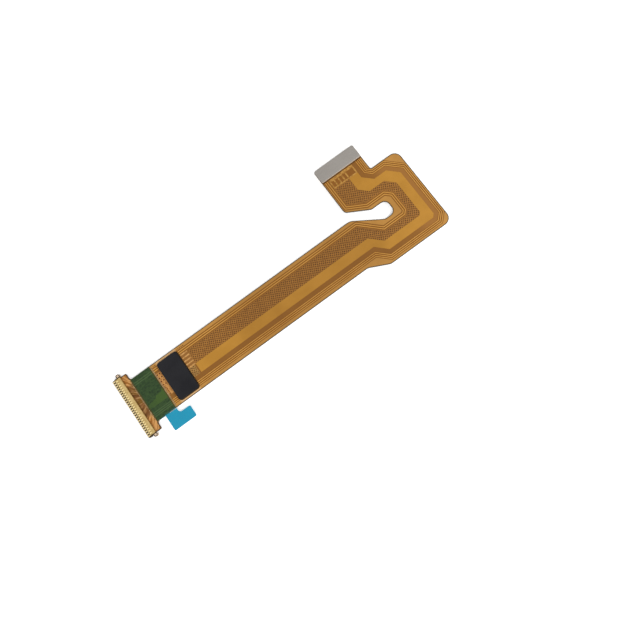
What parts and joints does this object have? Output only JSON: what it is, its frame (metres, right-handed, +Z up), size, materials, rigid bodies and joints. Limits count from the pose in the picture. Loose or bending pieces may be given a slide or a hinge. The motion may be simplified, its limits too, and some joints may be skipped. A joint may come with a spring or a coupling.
{
  "type": "flat flex cable",
  "caption": "Printed flat flex cable with a comb connector, foam pad and pull tab at one end and a slotted, hooked paddle with a board plug at the other.",
  "frame": {"origin": "centre of the part's footprint, on the plane it rests on when laid flat with its copper side up", "axes": "+X along the strip from the comb connector to the paddle, +Z up out of the copper side"},
  "size_m": [0.0716, 0.0256, 0.0014],
  "materials": {
    "amber_film": "amber polyimide, glossy",
    "black_film": "black film, satin",
    "gold_copper": "copper under clear amber film",
    "trace_copper": "copper lines under clear amber film",
    "lead_copper": "copper under clear amber film",
    "green_mask": "green solder mask",
    "pad_foam": "black closed-cell foam, matt",
    "steel_plate": "stainless sheet, satin",
    "brown_plate": "brown laminate plate, satin",
    "tape_adhesive": "clear tape adhesive",
    "bonding_film": "cured bonding film, nearly black",
    "tab_film": "blue polyester film",
    "comb_resin": "black moulded resin",
    "gold_plating": "gold-plated copper alloy",
    "tin_plating": "tin-plated sheet",
    "plug_resin": "black moulded resin",
    "pin_plating": "plated contacts"
  },
  "bodies": {
    "root": {"base_film": "amber_film", "shield_film": "black_film", "ground_plane": "gold_copper", "slot_margin": "gold_copper", "rim_margin": "gold_copper", "entry_patch": "gold_copper", "via_pads": "gold_copper", "neck_ladder": "gold_copper", "shield_mesh": "gold_copper", "slot_line_a": "trace_copper", "slot_line_b": "trace_copper", "rim_line_a": "trace_copper", "rim_line_b": "trace_copper", "rim_line_c": "trace_copper", "entry_lines": "trace_copper", "fan_out": "trace_copper", "neck_leads": "lead_copper", "bent_lead": "lead_copper", "neck_patch_left": "lead_copper", "neck_patch_right": "lead_copper", "bay_lines": "lead_copper", "solder_mask": "green_mask", "foam_pad": "pad_foam", "plug_stiffener": "steel_plate", "end_plate": "brown_plate", "plate_adhesive": "tape_adhesive", "stiffener_bond": "bonding_film", "pull_tab": "tab_film", "comb_housing": "comb_resin", "comb_contacts": "gold_plating", "comb_shell": "gold_plating", "comb_bar": "tin_plating", "comb_ear_near": "tin_plating", "comb_ear_far": "tin_plating", "plug_clip_left": "tin_plating", "plug_clip_right": "tin_plating", "plug_housing": "plug_resin", "plug_contacts_near": "pin_plating", "plug_contacts_far": "pin_plating"}
  },
  "joints": []
}
